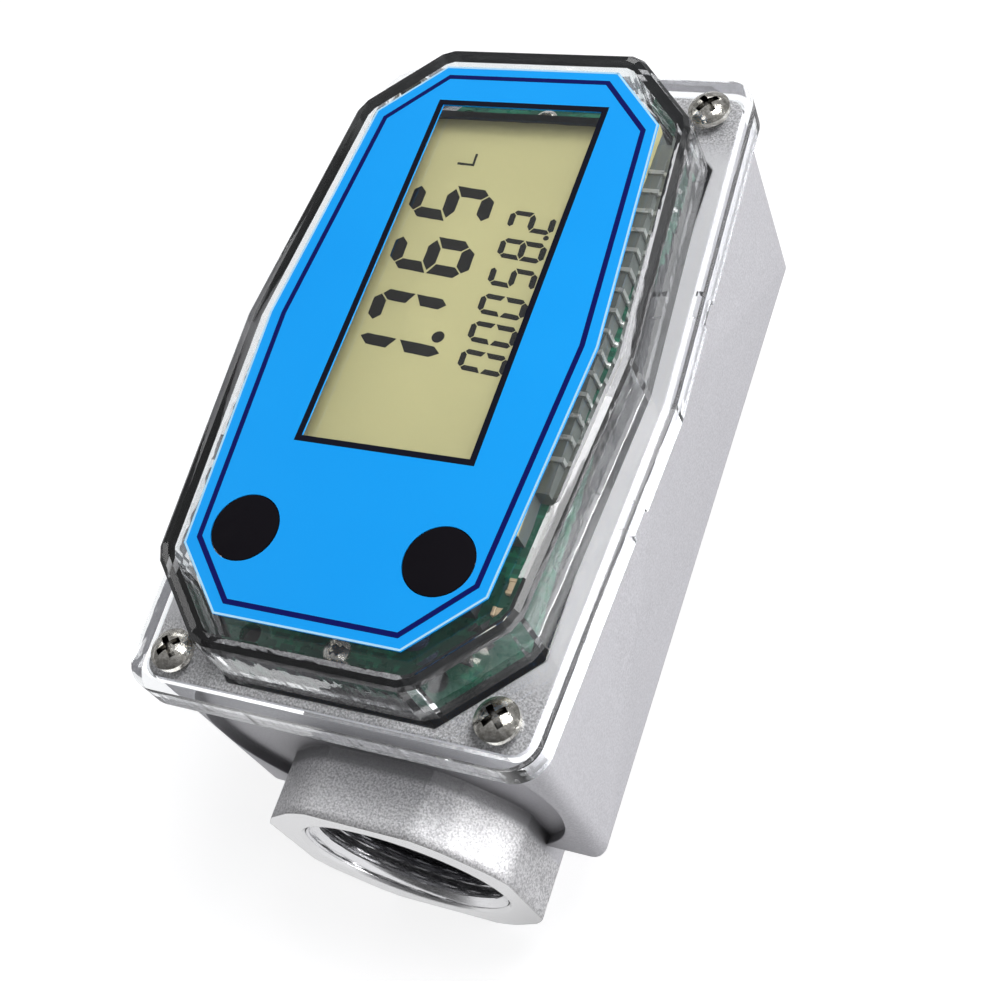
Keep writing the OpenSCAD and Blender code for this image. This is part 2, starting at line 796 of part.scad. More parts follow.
module contact_springs() {
    color("silver") cell_places() translate([0, 0, plate_t]) difference() {
        cylinder(h = spring_len, r1 = spring_r, r2 = spring_tip_r);
        translate([0, 0, -over]) cylinder(h = spring_len + 2 * over, r = spring_tip_r - spring_wire);
    }
}

module contact_plates() {
    color("silver") for (side = [-1, 1], turn = [0, 1]) mirror([0, turn, 0])
        translate([side * cell_spacing / 2, -tray_half_len, 0]) {
            translate([-plate_w / 2, 0, tray_floor_z + seat_gap])
                cube([plate_w, plate_t, cell_r + plate_rise]);
            translate([-tab_w / 2, 0, tray_floor_z + seat_gap])
                cube([tab_w, plate_t, board_z - tray_floor_z - seat_gap]);
        }
}

module pickup_sensor() {
    color("#3a3d42") {
        translate([0, 0, pickup_z]) cylinder(h = pickup_top_z - pickup_z, r = pickup_r);
        for (side = [-1, 1]) translate([side * pickup_lead_x, 0, pickup_top_z])
            cylinder(h = board_z - pickup_top_z, r = pickup_lead_r);
    }
}

module flow_support() {
    nose = [for (i = [0 : nose_steps]) let(angle = 90 * i / nose_steps)
        [hub_r * cos(angle), support_len + nose_len * sin(angle)]];
    difference() {
        union() {
            rotate_extrude() polygon(concat([[0, 0], [hub_r, 0]], nose));
            difference() {
                cylinder(h = support_len, r = support_bore_r - seat_gap);
                translate([0, 0, -over]) cylinder(h = support_len + 2 * over,
                    r = support_bore_r - ring_wall);
            }
            for (i = [0 : vane_count - 1]) rotate([0, 0, 360 * i / vane_count])
                translate([hub_r / 2, -vane_t / 2, 0])
                cube([support_bore_r - ring_wall / 2 - hub_r / 2, vane_t, support_len]);
        }
        translate([0, 0, -over]) cylinder(h = shaft_seat + seat_gap + over,
            r = shaft_r + press_gap);
    }
}

module front_support() {
    color("#d9dadc") mirror([0, 1, 0]) along_flow(shoulder_y) flow_support();
}

module rear_support() {
    color("#d9dadc") along_flow(shoulder_y) flow_support();
}

module retaining_rings() {
    outer_r = groove_r - seat_gap;
    inner_r = outer_r - snap_ring_w;
    end_angle = 360 - snap_ring_gap_angle;
    color("#8d9196") both_ends() along_flow(ring_y) rotate([0, 0, snap_ring_gap_angle / 2])
        difference() {
            union() {
                rotate_extrude(angle = end_angle) translate([inner_r, 0])
                    square([snap_ring_w, snap_ring_t]);
                for (angle = [0, end_angle]) rotate([0, 0, angle])
                    translate([inner_r + ear_r / 2, 0, 0]) cylinder(h = snap_ring_t, r = ear_r);
            }
            for (angle = [0, end_angle]) rotate([0, 0, angle])
                translate([inner_r + ear_r / 2, 0, -over])
                cylinder(h = snap_ring_t + 2 * over, r = ear_hole_r);
        }
}

module rotor_shaft() {
    half = shoulder_y + shaft_seat;
    color("silver") along_flow(-half) cylinder(h = 2 * half, r = shaft_r);
}

module turbine_rotor() {
    color("#e9e6da") along_flow(-hub_y) difference() {
        union() {
            cylinder(h = hub_len, r = hub_r);
            for (i = [0 : blade_count - 1]) rotate([0, 0, 360 * i / blade_count])
                intersection() {
                    cylinder(h = hub_len, r = blade_tip_r);
                    translate([0, 0, hub_y]) rotate([blade_angle, 0, 0])
                        translate([hub_r / 2, -blade_t / 2, -blade_chord / 2])
                        cube([blade_tip_r, blade_t, blade_chord]);
                }
        }
        translate([0, 0, -over]) cylinder(h = hub_len + 2 * over, r = bush_r + press_gap);
        for (side = [-1, 1]) translate([side * magnet_place_r, 0, hub_len - magnet_t])
            cylinder(h = magnet_t + over, r = magnet_r + press_gap);
    }
}

module rotor_bushes() {
    color("white") both_ends() along_flow(hub_y - bush_len) difference() {
        cylinder(h = bush_len, r = bush_r);
        translate([0, 0, -over]) cylinder(h = bush_len + 2 * over, r = shaft_r + shaft_gap);
    }
}

module rotor_magnets() {
    color("dimgray") along_flow(hub_y - magnet_t) for (side = [-1, 1])
        translate([side * magnet_place_r, 0, 0]) cylinder(h = magnet_t, r = magnet_r);
}

meter_body();
clear_cover();
cover_gasket();
cover_screws();
face_label();
calibrate_button();
display_button();
display_glass();
display_frame();
display_holder();
display_pins();
circuit_board();
board_screws();
switch_cases();
calibrate_stem();
display_stem();
controller_chip();
crystal_can();
board_capacitors();
battery_tray();
battery_cells();
contact_springs();
contact_plates();
pickup_sensor();
front_support();
rear_support();
retaining_rings();
rotor_shaft();
turbine_rotor();
rotor_bushes();
rotor_magnets();
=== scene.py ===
import math
import random

import bmesh
import bpy
from mathutils import Matrix, Vector
from mathutils.geometry import convex_hull_2d


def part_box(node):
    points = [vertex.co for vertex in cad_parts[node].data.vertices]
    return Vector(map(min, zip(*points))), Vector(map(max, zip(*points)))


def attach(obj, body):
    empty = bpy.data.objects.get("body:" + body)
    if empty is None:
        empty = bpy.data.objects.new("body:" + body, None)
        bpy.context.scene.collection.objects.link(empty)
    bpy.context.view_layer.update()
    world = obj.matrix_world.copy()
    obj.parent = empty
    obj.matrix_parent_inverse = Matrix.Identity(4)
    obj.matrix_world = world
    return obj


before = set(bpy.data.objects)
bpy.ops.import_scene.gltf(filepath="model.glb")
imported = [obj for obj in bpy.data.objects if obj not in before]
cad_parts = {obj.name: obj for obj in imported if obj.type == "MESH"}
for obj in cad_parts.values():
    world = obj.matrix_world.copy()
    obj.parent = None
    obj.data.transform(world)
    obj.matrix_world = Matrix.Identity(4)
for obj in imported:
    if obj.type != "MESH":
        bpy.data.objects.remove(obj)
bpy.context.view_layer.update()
MM = 0.001


def box_mm(node):
    low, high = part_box(node)
    return [value / MM for value in low], [value / MM for value in high]


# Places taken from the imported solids, in millimetres
GLASS_TOP = box_mm("display_glass")[1][2]
FACE_Z = box_mm("face_label")[1][2]
BOARD_TOP = box_mm("circuit_board")[1][2]
PORT_FACE = box_mm("meter_body")[1][1]

# Sizes of the flow tube, its ports and their pipe threads, in millimetres
AXIS_Z = 20.5
HOUSING_END = 55.0
BORE_R = 16.6
PORT_DEPTH = 17.0
THREAD_TIP_R = 15.15
THREAD_PITCH = 2.309


# Node trees
def srgb(red, green, blue):
    """The linear colour of a screen colour given in eight-bit levels."""
    linear = [((level / 255 + 0.055) / 1.055) ** 2.4 if level > 10 else level / 255 / 12.92
              for level in (red, green, blue)]
    return (*linear, 1.0)


def shades(color, spread):
    """A darker and a lighter shade of a colour."""
    return ((*[level * (1 - spread) for level in color[:3]], 1.0),
            (*[min(1.0, level * (1 + spread)) for level in color[:3]], 1.0))


class Nodes:
    """Adds nodes to a tree and joins them up."""

    def __init__(self, tree):
        self.tree = tree
        coordinates = self.add("ShaderNodeTexCoord").outputs
        self.place = coordinates["Object"]
        self.facing = coordinates["Normal"]
        self.direction = coordinates["Generated"]

    def add(self, kind, links=(), **settings):
        node = self.tree.nodes.new(kind)
        for key, value in settings.items():
            setattr(node, key, value)
        for socket, value in dict(links).items():
            self.feed(node.inputs[socket], value)
        return node

    def feed(self, socket, value):
        if isinstance(value, bpy.types.NodeSocket):
            self.tree.links.new(value, socket)
        else:
            socket.default_value = value

    def noise(self, scale, detail=3.0, rough=0.55, place=None):
        links = {"Vector": place or self.place, "Scale": scale, "Detail": detail, "Roughness": rough}
        return self.add("ShaderNodeTexNoise", links).outputs["Fac"]

    def stretched(self, scale, turn=(0.0, 0.0, 0.0)):
        """The place on the piece, stretched and turned."""
        links = {"Vector": self.place, "Rotation": turn, "Scale": scale}
        return self.add("ShaderNodeMapping", links).outputs[0]

    def split(self, vector):
        return list(self.add("ShaderNodeSeparateXYZ", {0: vector}).outputs)

    def math(self, operation, first, second=0.0):
        return self.add("ShaderNodeMath", {0: first, 1: second}, operation=operation).outputs[0]

    def plus(self, first, second):
        return self.math("ADD", first, second)

    def minus(self, first, second):
        return self.math("SUBTRACT", first, second)

    def times(self, first, second):
        return self.math("MULTIPLY", first, second)

    def distance(self, first, second):
        """The length of a vector with two parts."""
        return self.math("SQRT", self.plus(self.times(first, first), self.times(second, second)))

    def remap(self, value, low, high, to_low=0.0, to_high=1.0):
        return self.add("ShaderNodeMapRange", {"Value": value, "From Min": low, "From Max": high,
                                               "To Min": to_low, "To Max": to_high}).outputs[0]

    def past(self, length, start, end):
        """Rises from nought to one between two places in millimetres."""
        return self.remap(length, start * MM, end * MM)

    def vary(self, noise, low, high):
        """Stretches the usual span of a noise between two values."""
        return self.remap(noise, 0.3, 0.7, low, high)

    def blend(self, factor, first, second):
        return self.add("ShaderNodeMix", {0: factor, 2: first, 3: second}).outputs[0]

    def mix(self, factor, first, second):
        """Mixes two colours."""
        return self.add("ShaderNodeMix", {0: factor, 6: first, 7: second}, data_type="RGBA").outputs[2]

    def cavity(self, reach, **settings):
        """One in the open, and less in corners, within a reach in millimetres."""
        node = self.add("ShaderNodeAmbientOcclusion", {"Distance": reach * MM}, samples=8, **settings)
        return node.outputs["AO"]

    def bump(self, pattern, depth, strength, normal=None):
        """Relief from a pattern, with a depth in millimetres."""
        links = {"Height": pattern, "Distance": depth * MM, "Strength": strength}
        if normal is not None:
            links["Normal"] = normal
        return self.add("ShaderNodeBump", links).outputs[0]


class Material(Nodes):
    """A new material with its shader."""

    def __init__(self, name):
        self.material = bpy.data.materials.new(name)
        self.material.use_nodes = True
        super().__init__(self.material.node_tree)
        self.shader = self.tree.nodes["Principled BSDF"]

    def shade(self, **sockets):
        for name, value in sockets.items():
            self.feed(self.shader.inputs[name.replace("_", " ")], value)
        return self.material


# Materials
def moulded(name, color, rough, grain=0.02, spread=0.12, **extra):
    """Plastic with a fine spark-eroded grain and slightly uneven colour."""
    look = Material(name)
    dark, light = shades(color, spread)
    tone = look.mix(look.noise(220, detail=4), dark, light)
    gloss = look.vary(look.noise(500), rough - 0.07, rough + 0.07)
    relief = look.bump(look.noise(5200, detail=2), grain, 0.6)
    return look.shade(Base_Color=tone, Roughness=gloss, Normal=relief, **extra)


def metal(name, color, rough, brush=None):
    """Metal with fine scratches along one axis, or an even grain."""
    look = Material(name)
    dark, light = shades(color, 0.1)
    fine = look.noise(3500, place=look.stretched(brush)) if brush else look.noise(4200)
    tone = look.mix(look.noise(300, detail=4), dark, light)
    gloss = look.vary(fine, rough * 0.7, rough * 1.4)
    return look.shade(Base_Color=tone, Metallic=1.0, Roughness=gloss, Normal=look.bump(fine, 0.01, 0.5))


# Where the looks of the casting change, in millimetres from its middle or from the flow axis
PORT_START, PORT_END = HOUSING_END + 0.2, HOUSING_END + 1.2
CORNER_START, CORNER_END = 43, 47
RIM_START, RIM_END = 30, 34
TURNED_FACE = PORT_FACE - 0.05
TURNED_R = BORE_R + 0.7


def casting_zones(cast):
    """Masks for the casting's turned metal, ports, coarse grain and the painted highlight on upward faces
    below the cover, and the radius.
    """
    across, along, up = cast.split(cast.place)
    height = cast.minus(up, AXIS_Z * MM)
    radius = cast.distance(across, height)
    from_middle = cast.math("ABSOLUTE", along)
    on_face = cast.math("GREATER_THAN", from_middle, TURNED_FACE * MM)
    in_bore = cast.math("LESS_THAN", radius, TURNED_R * MM)
    turned = cast.math("MAXIMUM", on_face, in_bore)
    upward = cast.remap(cast.split(cast.facing)[2], 0.4, 0.8)
    port = cast.past(from_middle, PORT_START, PORT_END)
    corner = cast.past(from_middle, CORNER_START, CORNER_END)
    coarse = cast.math("MAXIMUM", cast.times(upward, corner), port)
    # Painted highlight: upward faces just below the cover are painted paler and made less metallic.
    rim_highlight = cast.times(cast.times(upward, cast.minus(1.0, corner)), cast.past(height, RIM_START, RIM_END))
    return turned, port, coarse, rim_highlight, radius


def casting_color(cast, grain, turned, port, coarse, rim_highlight):
    """Grey grit, coarser on ports and corners, with painted shade in corners, a painted highlight on top
    below the cover, and bright where turned.
    """
    coarse_dark, coarse_bright = (0.48, 0.475, 0.49, 1), (0.98, 0.975, 0.99, 1)
    fine_dark, fine_bright = (0.62, 0.615, 0.645, 1), (0.83, 0.825, 0.86, 1)
    fine_cloud, rim_highlight_grey = (0.78, 0.775, 0.81, 1), (0.93, 0.93, 0.945, 1)
    # Painted shade grey for corners, and the bright turned metal
    painted_shade_grey, turned_bright = (0.26, 0.257, 0.27, 1), (0.93, 0.93, 0.94, 1)
    coarse_color = cast.mix(cast.remap(grain, 0.38, 0.60), coarse_dark, coarse_bright)
    fine_color = cast.mix(cast.remap(grain, 0.35, 0.65), fine_dark, fine_bright)
    cloud = cast.remap(cast.noise(45), 0.35, 0.65, 0.0, 0.4)
    color = cast.mix(coarse, cast.mix(cloud, fine_color, fine_cloud), coarse_color)
    # Painted highlight: upward faces below the cover are mixed toward a pale grey.
    color = cast.mix(cast.times(rim_highlight, 0.85), color, rim_highlight_grey)
    # Painted shade: the colour darkens where ambient occlusion finds corners and recesses, less so on the
    # ports.
    painted_shade = cast.remap(cast.cavity(16, only_local=True), 0.45, 0.92, 1.0, 0.0)
    painted_shade = cast.times(painted_shade, cast.remap(port, 0, 1, 1.0, 0.08))
    return cast.mix(turned, cast.mix(painted_shade, color, painted_shade_grey), turned_bright)


def cast_aluminium():
    """Blasted casting, turned bright on the port faces and inside the flow tube."""
    cast = Material("cast_aluminium")
    turned, port, coarse, rim_highlight, radius = casting_zones(cast)
    grain = cast.noise(2900, rough=0.7)
    tool_lines = cast.add("ShaderNodeTexNoise", {"W": cast.times(radius, 9000.0), "Scale": 1.0},
                          noise_dimensions="1D").outputs["Fac"]
    rough_cast = cast.minus(cast.vary(grain, 0.42, 0.62), cast.times(port, 0.06))
    rough = cast.blend(turned, rough_cast, cast.vary(tool_lines, 0.12, 0.26))
    pitted = cast.plus(grain, cast.times(cast.noise(900, detail=2), 0.6))
    level = cast.blend(turned, pitted, cast.times(tool_lines, 0.12))
    metallic = cast.minus(cast.remap(turned, 0, 1, 0.55, 0.8), cast.times(rim_highlight, 0.45))
    edge_radius = cast.plus(cast.times(cast.minus(port, turned), 2.6 * MM), 0.5 * MM)
    rounded = cast.add("ShaderNodeBevel", {"Radius": edge_radius}, samples=8).outputs[0]
    relief = cast.bump(level, 0.12, cast.remap(coarse, 0, 1, 0.25, 0.6), rounded)
    return cast.shade(Base_Color=casting_color(cast, grain, turned, port, coarse, rim_highlight),
                      Metallic=metallic, Roughness=rough, Normal=relief)


def turned_metal():
    """Bright turned aluminium of the threads, with fine tool lines, and painted shade darkening it further
    into the port.
    """
    look = Material("turned_metal")
    lines = look.noise(5200, place=look.stretched((0.08, 1.0, 0.08)))
    from_middle = look.math("ABSOLUTE", look.split(look.place)[1])
    # Painted shade: the thread's colour darkens from 2 mm to 6 mm into the port, where little light reaches.
    painted_bore_shade = look.past(from_middle, PORT_FACE - 2, PORT_FACE - 6)
    bright = look.mix(look.noise(150), (0.80, 0.80, 0.82, 1), (0.94, 0.94, 0.95, 1))
    return look.shade(Base_Color=look.mix(painted_bore_shade, bright, (0.34, 0.34, 0.36, 1)), Metallic=1.0,
                      Roughness=look.vary(lines, 0.18, 0.3), Normal=look.bump(lines, 0.01, 0.12))


def clear_plastic():
    """Clear moulded cover with the slight waviness of its mould, and streaks in its end walls."""
    look = Material("clear_plastic")
    _, facing_end, facing_up = look.split(look.facing)
    wall = look.remap(look.math("ABSOLUTE", facing_up), 0.9, 0.5)
    end_wall = look.remap(look.math("ABSOLUTE", facing_end), 0.3, 0.8)
    wave = look.noise(95, rough=0.5)
    tilted = look.stretched((1.0, 1.0, 0.12), turn=(0.0, 0.7, 0.5))
    streaks = look.times(look.noise(135, rough=0.6, place=tilted), end_wall)
    relief = look.plus(wave, look.times(streaks, 1.5))
    tint = look.mix(look.noise(60), (0.955, 0.975, 0.985, 1), (0.985, 0.993, 1.0, 1))
    return look.shade(Base_Color=tint, IOR=1.53, Roughness=look.remap(look.noise(700), 0.4, 0.8, 0.0, 0.05),
                      Transmission_Weight=look.remap(wall, 0, 1, 1.0, 0.99),
                      Normal=look.bump(relief, 0.35, look.remap(wall, 0, 1, 0.25, 0.4)))


def printed_film():
    """Blue printed film: even ink with a faint sheen and a very fine orange peel."""
    look = Material("blue_film")
    blue = look.mix(look.noise(35, detail=2), srgb(8, 158, 248), srgb(20, 169, 254))
    return look.shade(Base_Color=blue, Roughness=look.vary(look.noise(900), 0.36, 0.46),
                      Specular_IOR_Level=0.16, Normal=look.bump(look.noise(1800, detail=2), 0.02, 0.4))


def solder_mask():
    """Green circuit board with paler copper tracks under the lacquer."""
    look = Material("solder_mask")
    black, white = (0, 0, 0, 1), (1, 1, 1, 1)
    tracks = look.add("ShaderNodeTexBrick", {"Vector": look.place, "Scale": 160.0, "Mortar Size": 0.06,
                                             "Color1": black, "Color2": black, "Mortar": white})
    patch = look.remap(look.noise(260, detail=1), 0.5, 0.54)
    line = look.times(tracks.outputs["Color"], patch)
    green = look.mix(look.noise(90), srgb(8, 64, 48), srgb(14, 80, 62))
    return look.shade(Base_Color=look.mix(line, green, srgb(22, 98, 74)),
                      Roughness=look.vary(look.noise(600), 0.24, 0.36), Coat_Weight=0.2, Coat_Roughness=0.2,
                      Normal=look.bump(line, 0.04, 0.5))


def nickel():
    """Plated screws: heads with painted reflections, blotched bright and dark, and painted shade in the
    crevices of the cross.
    """
    look = Material("nickel")
    # Painted reflections: the plating colour is blotched bright and dark.
    painted_glint_mottle = look.remap(look.noise(1300), 0.35, 0.65)
    plated_with_painted_glints = look.mix(painted_glint_mottle, (0.52, 0.50, 0.45, 1), (0.90, 0.88, 0.82, 1))
    # Painted shade: crevices in the cross recess turn nearly black.
    clear_of_painted_shade = look.remap(look.cavity(0.9), 0.55, 0.95)
    return look.shade(Base_Color=look.mix(clear_of_painted_shade, (0.03, 0.028, 0.026, 1), plated_with_painted_glints), Metallic=1.0,
                      Roughness=look.vary(look.noise(2200), 0.08, 0.26),
                      Normal=look.bump(look.noise(1500), 0.1, 0.6))


def display_back():
    """Reflective liquid crystal ground: khaki grey with a soft grain."""
    look = Material("display_back")
    khaki = look.mix(look.noise(40, detail=2), srgb(165, 160, 115), srgb(171, 166, 121))
    return look.shade(Base_Color=khaki, Roughness=look.vary(look.noise(2400), 0.5, 0.62),
                      Specular_IOR_Level=0.2)


def cell_wrap():
    """Printed cell sleeve: black with a plain copper band at one end, opposite on the two cells."""
    look = Material("cell_wrap")
    across, along, _ = look.split(look.place)
    band_side = look.times(along, look.math("SIGN", across))
    copper = look.math("GREATER_THAN", band_side, 11 * MM)
    black = look.mix(look.noise(300), (0.012, 0.012, 0.014, 1), (0.03, 0.03, 0.033, 1))
    return look.shade(Base_Color=look.mix(copper, black, (0.55, 0.24, 0.07, 1)),
                      Metallic=look.times(copper, 0.8), Roughness=look.vary(look.noise(900), 0.22, 0.34))


LENGTHWISE = (1, 0.05, 1)
MATERIALS = {
    "meter_body": cast_aluminium(),
    "clear_cover": clear_plastic(),
    "cover_gasket": moulded("gasket_rubber", (0.010, 0.011, 0.013), rough=0.38, grain=0.03),
    "cover_screws": nickel(),
    "face_label": printed_film(),
    "calibrate_button": moulded("button_black", (0.004, 0.003, 0.0055), rough=0.6, grain=0.01,
                                Specular_IOR_Level=0.08),
    "display_glass": display_back(),
    "display_frame": moulded("frame_black", (0.016, 0.018, 0.018), rough=0.4),
    # Painted shade: the display holder and its pins are coloured darker, for the shade that the cover, which
    # casts no shadow, would give them.
    "display_holder": moulded("holder_grey_painted_shade", (0.085, 0.095, 0.09), rough=0.5),
    "display_pins": moulded("pin_tin_painted_shade", (0.34, 0.35, 0.34), rough=0.3, Metallic=0.35),
    "circuit_board": solder_mask(),
    "board_screws": metal("board_screw_steel", (0.74, 0.72, 0.67), rough=0.22),
    "switch_cases": moulded("switch_black", (0.02, 0.02, 0.022), rough=0.45),
    "calibrate_stem": moulded("stem_cream", (0.74, 0.70, 0.58), rough=0.45),
    "controller_chip": moulded("chip_black", (0.022, 0.022, 0.024), rough=0.5),
    "crystal_can": metal("can_metal", (0.76, 0.76, 0.75), rough=0.2, brush=LENGTHWISE),
    "board_capacitors": moulded("capacitor_sleeve", (0.02, 0.026, 0.045), rough=0.3),
    "battery_tray": moulded("tray_black", (0.016, 0.016, 0.018), rough=0.5),
    "battery_cells": cell_wrap(),
    "contact_springs": metal("contact_steel", (0.74, 0.73, 0.70), rough=0.25),
    "pickup_sensor": moulded("pickup_case", (0.03, 0.03, 0.033), rough=0.4),
    "front_support": metal("support_metal", (0.80, 0.80, 0.81), rough=0.2),
    "retaining_rings": metal("spring_steel", (0.30, 0.31, 0.33), rough=0.35),
    "rotor_shaft": metal("shaft_steel", (0.62, 0.62, 0.63), rough=0.15, brush=LENGTHWISE),
    "turbine_rotor": moulded("rotor_plastic", (0.78, 0.76, 0.66), rough=0.4),
    "rotor_bushes": moulded("bush_plastic", (0.66, 0.60, 0.46), rough=0.35),
    "rotor_magnets": metal("magnet_metal", (0.45, 0.45, 0.46), rough=0.3),
}
SAME = {"display_button": "calibrate_button", "display_stem": "calibrate_stem",
        "contact_plates": "contact_springs", "rear_support": "front_support"}
for node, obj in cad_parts.items():
    look = MATERIALS[SAME.get(node, node)]
    if not obj.material_slots:
        obj.data.materials.append(look)
    for slot in obj.material_slots:
        slot.material = look


def ink(name, color, rough, **extra):
    """An even colour: print, and the painted edge highlight."""
    return moulded(name, color, rough, grain=0.01, spread=0.05, **extra)


TURNED = turned_metal()
INK = ink("ink_navy", srgb(5, 14, 96), 0.5, Specular_IOR_Level=0.1)
DARK_INK = ink("ink_black", srgb(12, 14, 32), 0.5, Specular_IOR_Level=0.1)
DIGIT = ink("digit_black", srgb(7, 7, 6), 0.6, Specular_IOR_Level=0.1)
# Painted highlight: pale cyan for the label's edge.
EDGE_HIGHLIGHT = ink("film_edge_highlight", srgb(178, 226, 250), 0.4)
SOLDER = metal("solder", (0.78, 0.78, 0.76), rough=0.3)
CERAMIC = moulded("ceramic_tan", (0.50, 0.38, 0.24), rough=0.5)


# Mesh tools
def new_mesh(name, bm):
    mesh = bpy.data.meshes.new(name)
    bm.to_mesh(mesh)
    bm.free()
    return mesh


def solid_mesh(name, bm):
    """A mesh with all its faces looking outward."""
    bmesh.ops.recalc_face_normals(bm, faces=bm.faces)
    return new_mesh(name, bm)


def finish_piece(name, mesh, material, smooth=None):
    """Puts a new mesh, drawn in millimetres, into the scene and lets it ride on the meter.

    Edges up to the angle smooth are shaded round.
    """
    mesh.transform(Matrix.Scale(MM, 4))
    piece = bpy.data.objects.new(name, mesh)
    bpy.context.scene.collection.objects.link(piece)
    mesh.materials.append(material)
    if smooth is not None:
        mesh.shade_smooth()
        if smooth < 180:
            mesh.set_sharp_from_angle(angle=math.radians(smooth))
    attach(piece, "meter")
    return piece


def join_rings(bm, first, second):
    """Four-sided faces between two closed rings with the same number of points."""
    count = len(first)
    for here in range(count):
        there = (here + 1) % count
        bm.faces.new((first[here], first[there], second[there], second[here]))


def ring_at(bm, points, z):
    return [bm.verts.new((x, y, z)) for x, y in points]


def slab(bm, points, z, thickness):
    """A flat plate with a given outline."""
    low = ring_at(bm, points, z)
    high = ring_at(bm, points, z + thickness)
    bm.faces.new(high)
    bm.faces.new(low[::-1])
    join_rings(bm, low, high)


def band(bm, outer, inner, z, thickness):
    """A flat ring between two outlines with the same number of points."""
    low_out, low_in = ring_at(bm, outer, z), ring_at(bm, inner, z)
    high_out, high_in = ring_at(bm, outer, z + thickness), ring_at(bm, inner, z + thickness)
    join_rings(bm, high_out, high_in)
    join_rings(bm, low_in, low_out)
    join_rings(bm, low_out, high_out)
    join_rings(bm, high_in, low_in)


def circle(x, y, radius, count):
    angles = [2 * math.pi * index / count for index in range(count)]
    return [(x + radius * math.cos(angle), y + radius * math.sin(angle)) for angle in angles]


def inset(points, distance):
    """An outline moved in by a distance, with mitred corners."""

    def outward(start, end):
        edge = Vector(end) - Vector(start)
        return Vector((edge.y, -edge.x)).normalized()

    moved = []
    for index, corner in enumerate(points):
        before = outward(points[index - 1], corner)
        after = outward(corner, points[(index + 1) % len(points)])
        moved.append(Vector(corner) - distance * (before + after) / (1 + before.dot(after)))
    return moved


def soften(node, width, segments, angle=30, harden=True):
    """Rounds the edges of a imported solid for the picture, by a width in millimetres."""
    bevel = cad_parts[node].modifiers.new("soft_edges", "BEVEL")
    bevel.width = width * MM
    bevel.segments = segments
    bevel.limit_method = "ANGLE"
    bevel.angle_limit = math.radians(angle)
    bevel.use_clamp_overlap = True
    bevel.harden_normals = harden


# Pipe threads, in millimetres
THREAD_ROOT_R = BORE_R - 0.05
THREAD_BACK_R = BORE_R - 0.03
THREAD_START = 0.5
THREAD_END = PORT_DEPTH - 1.2
TOOTH_FLAT = 0.12
THREAD_STEPS = 132
TURN_STEPS = 144


def thread_radius(depth, turn):
    """Radius of the thread at a depth in its port, with flats on the teeth and a lead-in cone."""
    phase = (depth / THREAD_PITCH - turn) % 1.0
    tooth = (1 - abs(2 * phase - 1) - TOOTH_FLAT) / (1 - 2 * TOOTH_FLAT)
    tooth = min(1.0, max(0.0, tooth))
    cone = BORE_R + 0.05 + THREAD_START - depth
    return max(THREAD_ROOT_R - (THREAD_ROOT_R - THREAD_TIP_R) * tooth, min(THREAD_ROOT_R, cone))


def thread(name, side):
    """The cut thread of one port as one turned surface, running out at its back end."""
    bm = bmesh.new()
    rings = []
    for step in range(THREAD_STEPS + 1):
        depth = THREAD_START + (THREAD_END - THREAD_START) * step / THREAD_STEPS
        ring = []
        for place in range(TURN_STEPS):
            turn = place / TURN_STEPS
            radius = THREAD_BACK_R if step == THREAD_STEPS else thread_radius(depth, turn * side)
            angle = 2 * math.pi * turn
            ring.append(bm.verts.new((radius * math.cos(angle), side * (PORT_FACE - depth),
                                      AXIS_Z + radius * math.sin(angle))))
        rings.append(ring)
    for front, back in zip(rings, rings[1:]):
        join_rings(bm, front, back)
    mesh = new_mesh(name, bm)
    if side > 0:
        mesh.flip_normals()
    finish_piece(name, mesh, TURNED, smooth=35)


thread("inlet_thread", -1)
thread("outlet_thread", 1)


# Label print and a painted highlight along the label's edge, in millimetres
INK_T = 0.015
BORDER_HALF = [(13.4, -46.5), (21.7, -37.8), (24.2, 0), (21.7, 37.8), (13.4, 46.5)]
BORDER = BORDER_HALF + [(-x, -y) for x, y in BORDER_HALF]
BORDER_LINE = 0.8
HIGHLIGHT_START, HIGHLIGHT_END = 0.03, 0.33
WINDOW = [(14.15, -19.8), (14.15, 40.9), (-12.55, 40.9), (-12.55, -19.8)]
WINDOW_LINE = 0.95


def label_outline():
    """The label's own outline, in turn round its middle."""
    corners = [vertex.co.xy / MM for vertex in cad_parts["face_label"].data.vertices]
    hull = [corners[index] for index in convex_hull_2d(corners)]
    return sorted(hull, key=lambda corner: math.atan2(corner.y, corner.x))


def label_line(name, outline, outer, inner, material):
    """A line between two insets of an outline, half sunk into the film: print, and along the label's edge a
    painted highlight.
    """
    bm = bmesh.new()
    band(bm, inset(outline, outer), inset(outline, inner), FACE_Z - INK_T, 2 * INK_T)
    finish_piece(name, solid_mesh(name, bm), material)


label_line("label_border", BORDER, -BORDER_LINE / 2, BORDER_LINE / 2, INK)
# Painted highlight: a pale strip just inside the label's edge.
label_line("label_edge_highlight", label_outline(), HIGHLIGHT_START, HIGHLIGHT_END, EDGE_HIGHLIGHT)
label_line("window_border", WINDOW, -WINDOW_LINE, 0.0, DARK_INK)


# Display figures, in millimetres
FIGURE_Z = GLASS_TOP + 0.005
FIGURE_T = 0.02
DOTS = ((-0.54, 1.65, 1.02), (10.4, 20.6, 0.45))
DOT_POINTS = 24

# Each figure's bars, and the bars that mirror another bar: across, upside down or both
SEGMENTS = {"0": "abcdef", "2": "abged", "5": "afgcd", "6": "afgecd", "7": "abc", "8": "abcdefg"}
MIRRORED = {"b": ("f", True, False), "c": ("f", True, True), "d": ("a", False, True), "e": ("f", False, True)}

